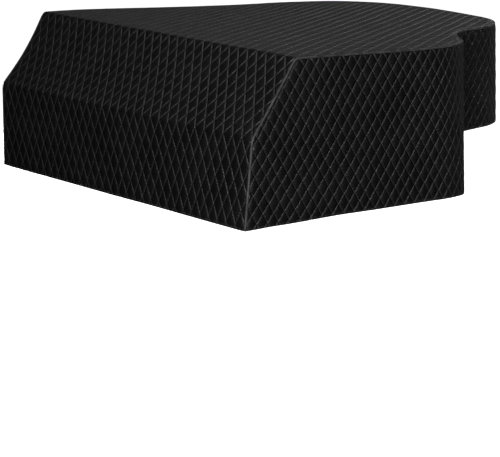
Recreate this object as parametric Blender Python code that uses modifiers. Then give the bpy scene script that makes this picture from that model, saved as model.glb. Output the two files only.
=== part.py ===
"""Fitted quilted cover for a baby grand piano, in the shape in which it hangs.

One quilted panel is the lid, the keyboard slope and the front skirt. Three more quilted skirts hang
round the sides, and a thin cord of the same cloth is sewn into the seam between them. The cover is
hollow and open below; the piano isn't part of it.

Cover coordinates, in metres: x runs from the bass side to the treble side, y from the keyboard end
to the tail, and z up from the outer face of the lid cloth. The finished part has its origin on the
underside of the lid cloth, at mid-width and mid-length.
"""
import math

import bmesh
import bpy
import numpy as np

# Sizes of the cover
WIDTH = 1.500
LENGTH = 1.570
SLOPE_RUN = 0.172  # from the front up to the lid's front edge, measured level
FOLD_DROP = 0.232  # from the lid down to the fold above the front skirt
FRONT_DROP = 0.5115  # from the lid down to the hem of the front, at the treble corner
TAIL_DROP = 0.3565  # from the lid down to the shorter hem round the tail
SLOPE_LENGTH = math.hypot(SLOPE_RUN, FOLD_DROP)

# Cloth and seams
CLOTH = 0.0020  # at a line of stitching
SLOPE_POINTS = 9  # along the curved end of the slope
PUFF = 0.0035  # height of a quilted diamond above its stitching
CORD_RADIUS = 0.0035
CORD_STEP = 0.085  # between the points of the cord where the cover's side is straight
CLEARANCE = 0.0003
SEAM = 2 * CORD_RADIUS + CLEARANCE  # from an outer corner of the cover to a panel's cut edge
FLAT_EDGE = 0.012  # diamonds whose middle is nearer than this to a cut edge lie flat
BLOCK_DEPTH = 0.012  # thickness of the quilted block that each panel is cut from
JOIN_DISTANCE = 0.00002  # points nearer than this are one point
PATTERN_HEIGHT = 0.020  # how far a paper pattern reaches above the cloth when it cuts it

# Outline of the lid behind the straight treble side: shoulder, hollow, tail and round to the spine
OUTLINE = [  # x, y
    (1.500, 0.700),
    (1.483, 0.805),
    (1.4135, 0.9180),
    (1.300, 0.999),
    (1.214, 1.072),
    (1.163, 1.148),
    (1.136, 1.230),
    (1.103, 1.322),
    (1.049, 1.395),
    (0.951, 1.470),
    (0.750, 1.528),
    (0.440, 1.570),
    (0.203, 1.540),
    (0.080, 1.450),
    (0.022, 1.315),
    (0.000, 1.180),
]
TAIL_SEAM = (1.214, 1.072)  # in the hollow, where the side skirt meets the tail skirt
SPINE_SEAM = (0.000, 1.180)  # where the tail skirt meets the spine skirt
BEND_START = 0.690  # y where the treble side stops being straight
BEND_END = 1.180  # y where the spine starts being straight

# Quilting: width and height of a diamond on each stretch of cloth
LID_DIAMOND = (0.0484, 0.0650)
SLOPE_DIAMOND = (0.0484, 0.0720)
FRONT_DIAMOND = (0.0484, 0.0880)
SIDE_DIAMOND = (0.0405, 0.0580)
TAIL_DIAMOND = (0.0480, 0.0540)

# Unevenness, as the cloth hangs
BASS_LIFT = 0.0155  # how far the lid's bass edge stands up where it is highest
LIFT_MIDDLE = 0.30  # y of that place
LIFT_REACH = 0.85  # how far from it the lift fades out
LID_FALL = 0.0045  # how far the lid has fallen half a metre behind its front edge
LID_FALL_RUN = 0.5
BASS_SAG = 0.011  # hollow of the keyboard slope at the bass end
TREBLE_SAG = 0.002  # and at the treble end
BASS_HEM_FALL = 0.014  # front hem, lower at the bass corner
FRONT_HEM_SAG = 0.002  # front hem, lower again between its corners
SIDE_DROPS = [  # distance walked along the treble side, and the drop of its hem there
    (0.000, FRONT_DROP),
    (0.120, 0.5080),
    (0.400, 0.5000),
    (0.750, 0.4975),
    (0.955, 0.4975),
]
FLARES = [  # where a skirt stands out: distance walked, reach either way, amount at a full hem
    (0.875, 0.170, 0.026),
    (1.575, 0.200, 0.016),
]
FLARE_TIP = 0.012  # rounding of a flare's middle
SPINE_HEM_RUN = 0.22  # length over which the spine's hem comes down to its full drop
FOLD_SHIFT = (0.006, 0.008)  # treble front corner, at the fold
HEM_SHIFT = (-0.006, -0.009)  # treble front corner, at the hem
SHIFT_REACH = 0.6  # how far from that corner the shifts fade out

ORIGIN_XY = (WIDTH / 2, LENGTH / 2)

CLOTH_COLOUR = (0.020, 0.020, 0.021, 1.0)
CORD_COLOUR = (0.032, 0.032, 0.034, 1.0)


def empty_the_scene():
    for thing in list(bpy.data.objects):
        bpy.data.objects.remove(thing, do_unlink=True)


def new_collection(name):
    collection = bpy.data.collections.new(name)
    bpy.context.scene.collection.children.link(collection)
    return collection


def fabric(name, colour, roughness):
    material = bpy.data.materials.new(name)
    material.use_nodes = True
    shader = material.node_tree.nodes["Principled BSDF"]
    shader.inputs["Base Color"].default_value = colour
    shader.inputs["Roughness"].default_value = roughness
    shader.inputs["Metallic"].default_value = 0.0
    material.diffuse_color = colour
    return material


def ease(value):
    """Smooth step from 0 to 1."""
    value = np.clip(value, 0.0, 1.0)
    return value * value * (3 - 2 * value)


# ---- the outline, walked from the treble front corner round the tail to the bass front corner


class Outline:
    """Positions and outward normals at distances walked along the cover's sides."""

    FINE = 12  # samples between two points of the table

    def __init__(self):
        curve = self.smooth([(WIDTH, OUTLINE[0][1] - 0.1), *OUTLINE, (0.0, OUTLINE[-1][1] - 0.1)])
        self.points = np.vstack(([(WIDTH, 0.0)], curve, [(0.0, 0.0)]))
        steps = np.linalg.norm(np.diff(self.points, axis=0), axis=1)
        self.walked = np.concatenate(([0.0], np.cumsum(steps)))
        self.total = self.walked[-1]
        ahead = np.gradient(self.points, self.walked, axis=0)
        ahead[:2] = (0.0, 1.0)
        ahead[-2:] = (0.0, -1.0)
        self.normals = np.column_stack((ahead[:, 1], -ahead[:, 0]))

    def smooth(self, table):
        """A cubic through the table's inner points, its tangents taken from their neighbours."""
        table = np.array(table)
        steps = np.linalg.norm(np.diff(table, axis=0), axis=1)
        walked = np.concatenate(([0.0], np.cumsum(steps)))
        tangents = np.gradient(table, walked, axis=0)
        curve = []
        for k in range(1, len(table) - 2):
            span = walked[k + 1] - walked[k]
            for u in np.arange(self.FINE) / self.FINE:
                curve.append(
                    (2 * u**3 - 3 * u**2 + 1) * table[k]
                    + (u**3 - 2 * u**2 + u) * span * tangents[k]
                    + (3 * u**2 - 2 * u**3) * table[k + 1]
                    + (u**3 - u**2) * span * tangents[k + 1]
                )
        curve.append(table[-2])
        return np.array(curve)

    def at(self, distance, outwards=0.0):
        place = [np.interp(distance, self.walked, self.points[:, axis]) for axis in (0, 1)]
        normal = [np.interp(distance, self.walked, self.normals[:, axis]) for axis in (0, 1)]
        size = np.hypot(*normal)
        return place[0] + outwards * normal[0] / size, place[1] + outwards * normal[1] / size

    def distance_of(self, point):
        return self.walked[np.argmin(np.linalg.norm(self.points - point, axis=1))]

    def bends_at(self, distance):
        return BEND_START < distance < self.total - BEND_END

    def bend_walks(self):
        """Distances through the bends, close enough together for a smooth line."""
        return [walk for walk in self.walked if self.bends_at(walk)][::3]


# ---- how the cloth hangs


def settle(x, y, z):
    """Moves a point of the plain cover to where the uneven cloth has it, in the part's frame."""
    bulge = ease(1 - np.abs(y - LIFT_MIDDLE) / LIFT_REACH)
    lift = BASS_LIFT * bulge * (1 - np.clip(x / WIDTH, 0, 1))
    fall = LID_FALL * ease((y - SLOPE_RUN) / LID_FALL_RUN)
    top_share = 1 - np.clip(-z / FOLD_DROP, 0, 1)
    near = ease(1 - (WIDTH - x) / SHIFT_REACH) * ease(1 - y / SHIFT_REACH)
    below = np.clip((-z - FOLD_DROP) / (FRONT_DROP - FOLD_DROP), 0, 1)
    shift = [
        near * ((1 - top_share) * (1 - below) * at_fold + below * at_hem)
        for at_fold, at_hem in zip(FOLD_SHIFT, HEM_SHIFT)
    ]
    return x + shift[0], y + shift[1], z + (lift - fall) * top_share


def slope_point(share, sag):
    """y and z at a share of the way from the lid's front edge down to the fold."""
    hollow = sag * np.sin(math.pi * share)
    inward = (FOLD_DROP / SLOPE_LENGTH, -SLOPE_RUN / SLOPE_LENGTH)
    return SLOPE_RUN * (1 - share) + hollow * inward[0], -FOLD_DROP * share + hollow * inward[1]


def slope_edge(sag, inset, count=SLOPE_POINTS):
    """Rows of y, z along the end of the slope, moved into the cover by an inset."""
    shares = np.linspace(0, 1, count)
    line = np.column_stack(slope_point(shares, sag))
    ahead = np.gradient(line, axis=0)
    ahead /= np.linalg.norm(ahead, axis=1)[:, None]
    inward = np.column_stack((-ahead[:, 1], ahead[:, 0]))
    # The two ends are mitred into the level lid and the upright skirt
    lid_turn = (0.0, -1.0)
    skirt_turn = (1.0, 0.0)
    for row, turn in ((0, lid_turn), (-1, skirt_turn)):
        middle = inward[row] + turn
        inward[row] = middle * 2 / np.dot(middle, middle)
    return line + inset * inward


def hem_height(distance, outline):
    """Height of the side hem: a little higher at the shoulder, and short round the tail."""
    rises = [  # distance walked, height
        *((walked, -drop) for walked, drop in SIDE_DROPS),
        (outline.distance_of(TAIL_SEAM), -TAIL_DROP),
        (outline.distance_of(SPINE_SEAM), -TAIL_DROP),
        (outline.distance_of(SPINE_SEAM) + SPINE_HEM_RUN, -FRONT_DROP),
        (outline.total, -FRONT_DROP - BASS_HEM_FALL),
    ]
    for (start, low), (end, high) in zip(rises, rises[1:]):
        if distance <= end:
            return low + (high - low) * float(ease((distance - start) / (end - start)))
    return rises[-1][1]


def flare(distance, height):
    """How far a skirt stands out from the lid's outline, at a distance walked and a height."""
    total = 0.0
    for middle, reach, amount in FLARES:
        away = np.hypot(distance - middle, FLARE_TIP) - FLARE_TIP
        total = total + amount * np.clip(1 - away / reach, 0, 1) ** 1.5
    return total * np.clip(-height / FRONT_DROP, 0, 1)


# ---- quilted panels: cut flat, then hung


def evaluated_mesh(thing):
    bpy.context.view_layer.update()
    return bpy.data.meshes.new_from_object(thing.evaluated_get(bpy.context.evaluated_depsgraph_get()))


def mesh_from(bm, name):
    mesh = bpy.data.meshes.new(name)
    bm.to_mesh(mesh)
    bm.free()
    return mesh


def inside_distance(points, pattern):
    """Distance of each point from the pattern's edge, negative outside it."""
    starts = np.array(pattern)
    ends = np.roll(starts, -1, axis=0)
    along = ends - starts
    offset = points[:, None, :] - starts[None, :, :]
    share = np.clip((offset * along).sum(2) / (along**2).sum(1), 0, 1)
    nearest = np.linalg.norm(offset - share[..., None] * along, axis=2).min(1)
    above = starts[:, 1] > points[:, None, 1]
    crosses = above != (ends[:, 1] > points[:, None, 1])
    rise = np.where(along[:, 1] == 0, 1.0, along[:, 1])
    cut = starts[:, 0] + (points[:, None, 1] - starts[:, 1]) / rise * along[:, 0]
    inside = (crosses & (points[:, None, 0] < cut)).sum(1) % 2 == 1
    return np.where(inside, nearest, -nearest)


def quilted_block(name, columns, rows, pattern):
    """A flat block of quilted cloth, its stitched corners at height 0.

    columns and rows are the positions of the lattice lines. Every second crossing is the middle of a
    diamond and stands up; the other crossings are the diamonds' corners.
    """
    bm = bmesh.new()
    bmesh.ops.create_grid(bm, x_segments=len(columns) - 1, y_segments=len(rows) - 1, size=0.5)
    bm.verts.ensure_lookup_table()
    crossings = []
    for vert in bm.verts:
        i = round((vert.co.x + 0.5) * (len(columns) - 1))
        j = round((vert.co.y + 0.5) * (len(rows) - 1))
        crossings.append((i + j) % 2)
        vert.co.xy = columns[i], rows[j]
    middles = np.array(crossings) == 1
    depth = inside_distance(np.array([vert.co.xy for vert in bm.verts]), pattern)
    for vert, middle, room in zip(bm.verts, middles, depth):
        if middle and room > FLAT_EDGE:
            vert.co.z = PUFF
    for face in list(bm.faces):
        corners = [vert for vert in face.verts if not middles[vert.index]]
        bmesh.utils.face_split(face, corners[0], corners[1])
    block = bpy.data.objects.new(name, mesh_from(bm, name))
    bpy.context.scene.collection.objects.link(block)
    solid = block.modifiers.new("Depth", "SOLIDIFY")
    solid.thickness = BLOCK_DEPTH
    solid.offset = -1
    return block


def paper_pattern(name, outline_points, cutters):
    """The panel's flat pattern as a solid, its lower face at the underside of the cloth."""
    curve = bpy.data.curves.new(name, "CURVE")
    curve.dimensions = "2D"
    curve.fill_mode = "BOTH"
    curve.extrude = (PATTERN_HEIGHT + CLOTH) / 2
    spline = curve.splines.new("POLY")
    spline.points.add(len(outline_points) - 1)
    for point, (x, y) in zip(spline.points, outline_points):
        point.co = (x, y, 0, 1)
    spline.use_cyclic_u = True
    drawn = bpy.data.objects.new(name, curve)
    bpy.context.scene.collection.objects.link(drawn)
    mesh = evaluated_mesh(drawn)
    bpy.data.objects.remove(drawn)
    bm = bmesh.new()
    bm.from_mesh(mesh)
    bmesh.ops.remove_doubles(bm, verts=bm.verts, dist=JOIN_DISTANCE)
    bmesh.ops.translate(bm, verts=bm.verts, vec=(0, 0, (PATTERN_HEIGHT - CLOTH) / 2))
    bmesh.ops.recalc_face_normals(bm, faces=bm.faces)
    pattern = bpy.data.objects.new(name, mesh_from(bm, name))
    pattern.display_type = "WIRE"
    pattern.hide_render = True
    cutters.objects.link(pattern)
    return pattern


def corners_only(pattern):
    """The pattern without the points that lie on a straight stretch."""
    points = np.array(pattern)
    before = points - np.roll(points, 1, axis=0)
    after = np.roll(points, -1, axis=0) - points
    turn = before[:, 0] * after[:, 1] - before[:, 1] * after[:, 0]
    turn /= np.linalg.norm(before, axis=1) * np.linalg.norm(after, axis=1)
    return [tuple(point) for point, bend in zip(points, turn) if abs(bend) > 0.002]


def is_underside(face):
    return all(vert.co.z < -CLOTH / 2 for vert in face.verts)


def is_plain(face):
    """True for the underside of the cloth and its cut edges, false for the quilted face."""
    return is_underside(face) or abs(face.normal.z) < 0.05


def cut_panel(name, columns, rows, pattern, creases_across, creases_up, cutters):
    """Cuts a panel from its quilted block.

    The underside is left in strips: creases_across and creases_up are the positions of its cuts,
    along which it bends when it is hung.
    """
    block = quilted_block(name, columns, rows, pattern)
    cut = block.modifiers.new("Cut", "BOOLEAN")
    cut.operation = "INTERSECT"
    cut.solver = "EXACT"
    cut.object = paper_pattern(name + "_pattern", pattern, cutters)
    mesh = evaluated_mesh(block)
    bpy.data.objects.remove(block)
    bm = bmesh.new()
    bm.from_mesh(mesh)
    bmesh.ops.remove_doubles(bm, verts=bm.verts, dist=JOIN_DISTANCE)
    seams = [edge for edge in bm.edges if all(is_underside(face) for face in edge.link_faces)]
    bmesh.ops.dissolve_edges(bm, edges=seams, use_verts=False)
    for places, normal in ((creases_across, (1, 0, 0)), (creases_up, (0, 1, 0))):
        for place in places:
            plain = [face for face in bm.faces if is_plain(face)]
            edges = {edge for face in plain for edge in face.edges}
            verts = {vert for face in plain for vert in face.verts}
            at = [place * part for part in normal]
            geometry = [*plain, *edges, *verts]
            bmesh.ops.bisect_plane(bm, geom=geometry, dist=JOIN_DISTANCE, plane_co=at, plane_no=normal)
    return bm


def hang(bm, name, place, material, collection):
    """Bends a flat panel into the cover: place gives cover coordinates for flat ones."""
    flat = np.array([vert.co for vert in bm.verts])
    hung = np.column_stack(settle(*place(*flat.T)))
    hung -= np.array(lid_underside())
    for vert, position in zip(bm.verts, hung):
        vert.co = position
    panel = bpy.data.objects.new(name, mesh_from(bm, name))
    panel.data.materials.append(material)
    collection.objects.link(panel)
    return panel


def lid_underside():
    """The part's origin, in cover coordinates."""
    x, y, z = settle(*ORIGIN_XY, 0.0)
    return float(x), float(y), float(z) - CLOTH


def lattice(start, end, step):
    """Lattice lines from start, one step apart, until they pass end."""
    return start + step * np.arange(math.ceil((end - start) / step) + 1)


# ---- the pieces


def top_panel(outline, material, collection, cutters):
    """Lid, keyboard slope and front skirt in one piece of cloth.

    Flat, x is as in the cover, and the other way is the distance from the lid's front edge, up over
    the lid and down over the slope and the skirt.
    """
    half = LID_DIAMOND[0] / 2
    columns = np.linspace(-half, WIDTH + half, round(WIDTH / half) + 3)
    slope = np.linspace(-SLOPE_LENGTH, 0.0, round(2 * SLOPE_LENGTH / SLOPE_DIAMOND[1]) + 1)
    skirt = -SLOPE_LENGTH - lattice(0.0, FRONT_DROP - FOLD_DROP, FRONT_DIAMOND[1] / 2)[1:]
    lid = lattice(0.0, LENGTH - SLOPE_RUN, LID_DIAMOND[1] / 2)[1:]
    rows = np.concatenate((skirt[::-1], slope, lid))

    walks = [SLOPE_RUN, *outline.bend_walks(), outline.total - SLOPE_RUN]
    edge = np.column_stack(outline.at(walks, outwards=-SEAM)) - (0, SLOPE_RUN)
    hem = -SLOPE_LENGTH + FOLD_DROP - FRONT_DROP
    hem_ends = [(SEAM, hem - BASS_HEM_FALL), (WIDTH - SEAM, hem)]
    hem_middle = (WIDTH / 2, hem - BASS_HEM_FALL / 2 - FRONT_HEM_SAG)
    pattern = corners_only([hem_ends[0], hem_middle, hem_ends[1], *edge])
    across = columns[6:-4:5]
    up = [*slope, *lid[2::3]]
    bm = cut_panel("top_panel", columns, rows, pattern, across, up, cutters)

    # Where the slope's rows hang at the bass end and at the treble end: y, z and mitred normal
    ends = []
    for sag in (BASS_SAG, TREBLE_SAG):
        outer = slope_edge(sag, 0.0, len(slope))
        inner = slope_edge(sag, 1.0, len(slope))
        ends.append(np.column_stack((outer, outer - inner))[::-1])

    def place(x, v, n):
        bass, treble = (np.array([np.interp(v, slope, column) for column in end.T]) for end in ends)
        blend = np.clip(x / WIDTH, 0, 1)
        y, z, normal_y, normal_z = bass * (1 - blend) + treble * blend
        on_lid = v > JOIN_DISTANCE
        on_skirt = v < -SLOPE_LENGTH - JOIN_DISTANCE
        normal_y = np.select([on_lid, on_skirt], [0.0, -1.0], normal_y)
        normal_z = np.select([on_lid, on_skirt], [1.0, 0.0], normal_z)
        y = np.where(on_lid, SLOPE_RUN + v, y)
        z = np.where(on_skirt, v + SLOPE_LENGTH - FOLD_DROP, z)
        return x, y + n * normal_y, z + n * normal_z

    return hang(bm, "top_panel", place, material, collection)


def skirt_panel(name, outline, start, end, diamond, material, collection, cutters):
    """A side skirt between two distances along the outline.

    Flat, the first way is the distance walked along the outline and the second is the height.
    """
    half, rise = diamond[0] / 2, diamond[1] / 2
    columns = lattice(start - 2 * half, end + half, half)
    rows = -lattice(-rise, FRONT_DROP + BASS_HEM_FALL, rise)[::-1]

    walks = [walk for walk in columns if start + half < walk < end - half]
    if start == 0.0:
        front = [tuple(row) for row in slope_edge(TREBLE_SAG, SEAM)[::-1]]
        near = SEAM
    else:
        near = start + CLEARANCE / 2
        front = [(near, -SEAM)]
    if end == outline.total:
        back = [(outline.total - y, z) for y, z in slope_edge(BASS_SAG, SEAM)]
        far = outline.total - SEAM
    else:
        far = end - CLEARANCE / 2
        back = [(far, -SEAM)]
    hem = [(walk, hem_height(walk, outline)) for walk in (near, *walks, far)]
    pattern = corners_only([*hem, *back[::-1], *front[::-1]])

    straight_walks = [walk for walk in walks if not outline.bends_at(walk)]
    across = sorted({*(walk for walk in walks if outline.bends_at(walk)), *straight_walks[::5]})
    bm = cut_panel(name, columns, rows, pattern, across, [-FOLD_DROP], cutters)

    def place(walk, height, n):
        x, y = outline.at(walk, outwards=n + flare(walk, height))
        return x, y, height

    return hang(bm, name, place, material, collection)


def seam_cord(outline, material, collection):
    """The cord sewn into the seam: up the treble corner, round the lid and down the bass corner."""
    inset = CORD_RADIUS
    treble_hem = hem_height(0.0, outline)
    bass_hem = hem_height(outline.total, outline)
    treble = [(WIDTH - inset, inset, treble_hem), *slope_side(WIDTH - inset, TREBLE_SAG, inset)]
    bass = [(inset, inset, bass_hem), *slope_side(inset, BASS_SAG, inset)]
    front = np.arange(SLOPE_RUN + CORD_STEP, BEND_START, CORD_STEP)
    back = outline.total - np.arange(SLOPE_RUN + CORD_STEP, BEND_END, CORD_STEP)[::-1]
    walks = (*front, *outline.bend_walks(), *back)
    lid = [(*outline.at(walk, outwards=-inset), -inset) for walk in walks]
    route = [*treble, *lid, *bass[::-1]]

    curve = bpy.data.curves.new("seam_cord", "CURVE")
    curve.dimensions = "3D"
    curve.bevel_depth = CORD_RADIUS
    curve.bevel_resolution = 1
    curve.use_fill_caps = True
    spline = curve.splines.new("POLY")
    spline.points.add(len(route) - 1)
    origin = np.array(lid_underside())
    for point, (x, y, z) in zip(spline.points, route):
        point.co = (*(np.array(settle(x, y, z)) - origin), 1)
    cord = bpy.data.objects.new("seam_cord", curve)
    cord.data.materials.append(material)
    collection.objects.link(cord)
    return cord


def slope_side(x, sag, inset):
    """Points up the end of the slope, from the fold to the lid's front corner."""
    return [(x, y, z) for y, z in slope_edge(sag, inset)[::-1]]


def build():
    empty_the_scene()
    cover = new_collection("grand_piano_cover")
    cutters = new_collection("paper_patterns")
    cloth = fabric("quilted_cloth", CLOTH_COLOUR, 0.85)
    piping = fabric("piping_cloth", CORD_COLOUR, 0.75)
    outline = Outline()
    hollow = outline.distance_of(TAIL_SEAM)
    spine = outline.distance_of(SPINE_SEAM)
    top_panel(outline, cloth, cover, cutters)
    skirt_panel("treble_skirt", outline, 0.0, hollow, SIDE_DIAMOND, cloth, cover, cutters)
    skirt_panel("tail_skirt", outline, hollow, spine, TAIL_DIAMOND, cloth, cover, cutters)
    skirt_panel("spine_skirt", outline, spine, outline.total, SIDE_DIAMOND, cloth, cover, cutters)
    seam_cord(outline, piping, cover)


build()
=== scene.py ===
import math

import bmesh
import bpy
import numpy as np
from mathutils import Matrix, Vector


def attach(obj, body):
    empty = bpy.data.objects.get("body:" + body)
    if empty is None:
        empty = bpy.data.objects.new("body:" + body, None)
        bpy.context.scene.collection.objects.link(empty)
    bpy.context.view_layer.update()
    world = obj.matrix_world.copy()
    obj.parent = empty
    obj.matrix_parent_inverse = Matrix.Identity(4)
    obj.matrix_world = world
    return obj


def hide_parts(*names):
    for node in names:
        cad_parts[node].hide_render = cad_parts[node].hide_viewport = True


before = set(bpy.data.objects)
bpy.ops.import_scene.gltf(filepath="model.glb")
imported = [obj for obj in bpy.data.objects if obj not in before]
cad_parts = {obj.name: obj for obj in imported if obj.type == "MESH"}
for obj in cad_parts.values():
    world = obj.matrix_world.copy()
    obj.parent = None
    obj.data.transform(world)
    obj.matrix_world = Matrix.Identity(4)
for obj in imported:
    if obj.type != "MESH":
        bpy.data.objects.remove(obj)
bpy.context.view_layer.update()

# A fitted quilted cover for a baby grand piano. x runs from the bass side to the treble side, y from
# the keyboard to the tail and z up from the outer face of the lid cloth. The finished meshes are
# moved so that the origin is under the lid cloth, at mid-width and mid-length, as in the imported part.

cover = {
    "width": 1.500,
    "length": 1.570,
    "slopeRun": 0.172,  # front to the lid's front edge, measured level
    "foldDrop": 0.232,  # lid to the fold above the front skirt
    "frontDrop": 0.5115,  # lid to the hem of the front, at the treble corner
    "tailDrop": 0.3565,  # lid to the shorter hem round the tail
    "cloth": 0.0020,
    "puff": 0.0020,  # a quilted diamond above its stitching
    "cordRadius": 0.0035,
    "tuckUnder": 0.0016,  # how far a sewn edge runs in under the cord
    "seamSlack": 0.0003,
    "outline": [
        (1.500, 0.700), (1.483, 0.805), (1.4135, 0.9180), (1.300, 0.999), (1.214, 1.072),
        (1.163, 1.148), (1.136, 1.230), (1.103, 1.322), (1.049, 1.395), (0.951, 1.470),
        (0.750, 1.528), (0.440, 1.570), (0.203, 1.540), (0.080, 1.450), (0.022, 1.315),
        (0.000, 1.180),
    ],
    "tailSeam": (1.214, 1.072),
    "spineSeam": (0.000, 1.180),
    "bendStart": 0.690,
    "bendEnd": 1.180,
}
slopeLength = math.hypot(cover["slopeRun"], cover["foldDrop"])
seamInset = 2 * cover["cordRadius"] + cover["seamSlack"] - cover["tuckUnder"]

unevenness = {
    "bassLift": 0.0155,  # the lid's bass edge where it stands highest
    "liftMiddle": 0.30,
    "liftReach": 0.85,
    "lidFall": 0.0045,
    "lidFallRun": 0.5,
    "bassSag": 0.011,  # hollow of the keyboard slope at its ends
    "trebleSag": 0.002,
    "bassHemFall": 0.014,
    "frontHemSag": 0.002,
    "sideDrops": [(0.0, 0.5115), (0.120, 0.5080), (0.400, 0.5000), (0.750, 0.4975), (0.955, 0.4975)],
    "flares": [(0.875, 0.170, 0.026), (1.575, 0.200, 0.016)],  # walk, reach and amount at a full hem
    "flareTip": 0.012,
    "flareCurve": 1.5,
    "spineHemRun": 0.22,
    "foldShift": (0.006, 0.008),  # treble front corner, at the fold and at the hem
    "hemShift": (-0.006, -0.009),
    "shiftReach": 0.6,
    "bassOut": 0.005,  # how far the bass side stands out at the front
    "bassOutReach": (0.3, 0.9),  # from the bass side and from the front
    "foldRound": 0.007,  # half the length of cloth that a soft fold takes
}


def ease(value):
    value = np.clip(value, 0.0, 1.0)
    return value * value * (3 - 2 * value)


class SidePath:
    # the sides of the cover, walked from the treble front corner round to the bass front corner

    fine = 12  # samples between two points of the outline
    beyond = 0.1  # how far the outline is carried on, straight, at both ends

    def __init__(self):
        table = cover["outline"]
        width = cover["width"]
        padded = [(width, table[0][1] - self.beyond), *table, (0.0, table[-1][1] - self.beyond)]
        self.points = np.vstack(([(width, 0.0)], self.smooth(np.array(padded)), [(0.0, 0.0)]))
        steps = np.linalg.norm(np.diff(self.points, axis=0), axis=1)
        self.walked = np.concatenate(([0.0], np.cumsum(steps)))
        self.total = self.walked[-1]
        ahead = np.gradient(self.points, self.walked, axis=0)
        ahead[:2] = (0.0, 1.0)
        ahead[-2:] = (0.0, -1.0)
        self.normals = np.column_stack((ahead[:, 1], -ahead[:, 0]))

    def smooth(self, table):
        steps = np.linalg.norm(np.diff(table, axis=0), axis=1)
        walked = np.concatenate(([0.0], np.cumsum(steps)))
        tangents = np.gradient(table, walked, axis=0)
        curve = []
        for k in range(1, len(table) - 2):
            span = walked[k + 1] - walked[k]
            for u in np.arange(self.fine) / self.fine:
                curve.append(
                    (2 * u**3 - 3 * u**2 + 1) * table[k]
                    + (u**3 - 2 * u**2 + u) * span * tangents[k]
                    + (3 * u**2 - 2 * u**3) * table[k + 1]
                    + (u**3 - u**2) * span * tangents[k + 1]
                )
        curve.append(table[-2])
        return np.array(curve)

    def at(self, distance, outwards=0.0):
        place = [np.interp(distance, self.walked, self.points[:, axis]) for axis in (0, 1)]
        normal = [np.interp(distance, self.walked, self.normals[:, axis]) for axis in (0, 1)]
        size = np.hypot(*normal)
        return place[0] + outwards * normal[0] / size, place[1] + outwards * normal[1] / size

    def distanceOf(self, point):
        return self.walked[np.argmin(np.linalg.norm(self.points - point, axis=1))]

    def bendsAt(self, distance):
        return cover["bendStart"] < distance < self.total - cover["bendEnd"]


sides = SidePath()
hollowWalk = sides.distanceOf(cover["tailSeam"])
spineWalk = sides.distanceOf(cover["spineSeam"])


def settle(x, y, z):
    # where a point of the even cover goes when the cloth hangs unevenly
    loose = unevenness
    bulge = ease(1 - np.abs(y - loose["liftMiddle"]) / loose["liftReach"])
    lift = loose["bassLift"] * bulge * (1 - np.clip(x / cover["width"], 0, 1))
    fall = loose["lidFall"] * ease((y - cover["slopeRun"]) / loose["lidFallRun"])
    topShare = 1 - np.clip(-z / cover["foldDrop"], 0, 1)
    reach = loose["shiftReach"]
    near = ease(1 - (cover["width"] - x) / reach) * ease(1 - y / reach)
    skirtDrop = cover["frontDrop"] - cover["foldDrop"]
    below = np.clip((-z - cover["foldDrop"]) / skirtDrop, 0, 1)
    shift = [
        near * ((1 - topShare) * (1 - below) * atFold + below * atHem)
        for atFold, atHem in zip(loose["foldShift"], loose["hemShift"])
    ]
    acrossReach, alongReach = loose["bassOutReach"]
    out = loose["bassOut"] * ease(1 - x / acrossReach) * ease(1 - y / alongReach)
    return x + shift[0] - out, y + shift[1], z + (lift - fall) * topShare


def partOrigin():
    x, y, z = settle(cover["width"] / 2, cover["length"] / 2, 0.0)
    return np.array([float(x), float(y), float(z) - cover["cloth"]])


origin = partOrigin()


def slopePoint(share, sag):
    hollow = sag * np.sin(math.pi * share)
    inward = (cover["foldDrop"] / slopeLength, -cover["slopeRun"] / slopeLength)
    y = cover["slopeRun"] * (1 - share) + hollow * inward[0]
    return y, -cover["foldDrop"] * share + hollow * inward[1]


def slopeEdge(sag, inset, count=25):
    # rows of y, z along the end of the slope, moved into the cover by an inset
    line = np.column_stack(slopePoint(np.linspace(0, 1, count), sag))
    ahead = np.gradient(line, axis=0)
    ahead /= np.linalg.norm(ahead, axis=1)[:, None]
    inward = np.column_stack((-ahead[:, 1], ahead[:, 0]))
    for row, turn in ((0, (0.0, -1.0)), (-1, (1.0, 0.0))):
        middle = inward[row] + turn
        inward[row] = middle * 2 / np.dot(middle, middle)
    return line + inset * inward


def hemHeight(distance):
    front = -cover["frontDrop"]
    rises = [
        *((walked, -drop) for walked, drop in unevenness["sideDrops"]),
        (hollowWalk, -cover["tailDrop"]),
        (spineWalk, -cover["tailDrop"]),
        (spineWalk + unevenness["spineHemRun"], front),
        (sides.total, front - unevenness["bassHemFall"]),
    ]
    for (start, low), (end, high) in zip(rises, rises[1:]):
        if distance <= end:
            return low + (high - low) * float(ease((distance - start) / (end - start)))
    return rises[-1][1]


def flare(distance, height):
    # how far a skirt stands out from the lid's outline
    total = 0.0
    tip = unevenness["flareTip"]
    for middle, reach, amount in unevenness["flares"]:
        away = np.hypot(distance - middle, tip) - tip
        total = total + amount * np.clip(1 - away / reach, 0, 1) ** unevenness["flareCurve"]
    return total * np.clip(-height / cover["frontDrop"], 0, 1)


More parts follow.
